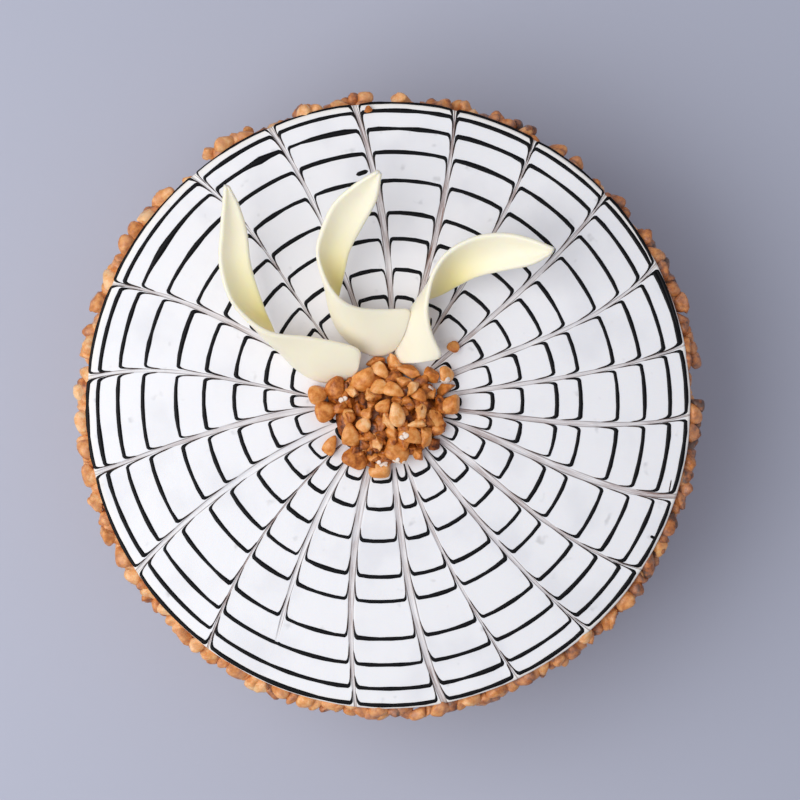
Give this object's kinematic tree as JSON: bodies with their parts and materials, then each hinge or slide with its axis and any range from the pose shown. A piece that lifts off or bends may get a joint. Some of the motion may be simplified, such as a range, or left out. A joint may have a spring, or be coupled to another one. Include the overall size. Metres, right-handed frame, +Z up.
{
  "type": "butterscotch cake",
  "caption": "Round iced cake with a dragged web of dark gel on top, butterscotch chips round the side and heaped in the middle, and white chocolate curls",
  "frame": {"origin": "middle of the flat base that the cake rests on", "axes": "+Z up, out of the cake's top; +Y towards the top edge of the picture, where the curls lie; +X to the right"},
  "size_m": [0.2108, 0.2111, 0.1094],
  "materials": {
    "icing": "soft satin whipped cream icing",
    "gel": "glossy dark piping gel",
    "chips": "glazed caramel brown butterscotch chips",
    "chocolate": "satin white chocolate"
  },
  "bodies": {
    "root": {"cake": "icing", "chip_heap": "chips", "curl_left": "chocolate", "curl_middle": "chocolate", "curl_right": "chocolate"}
  },
  "joints": []
}
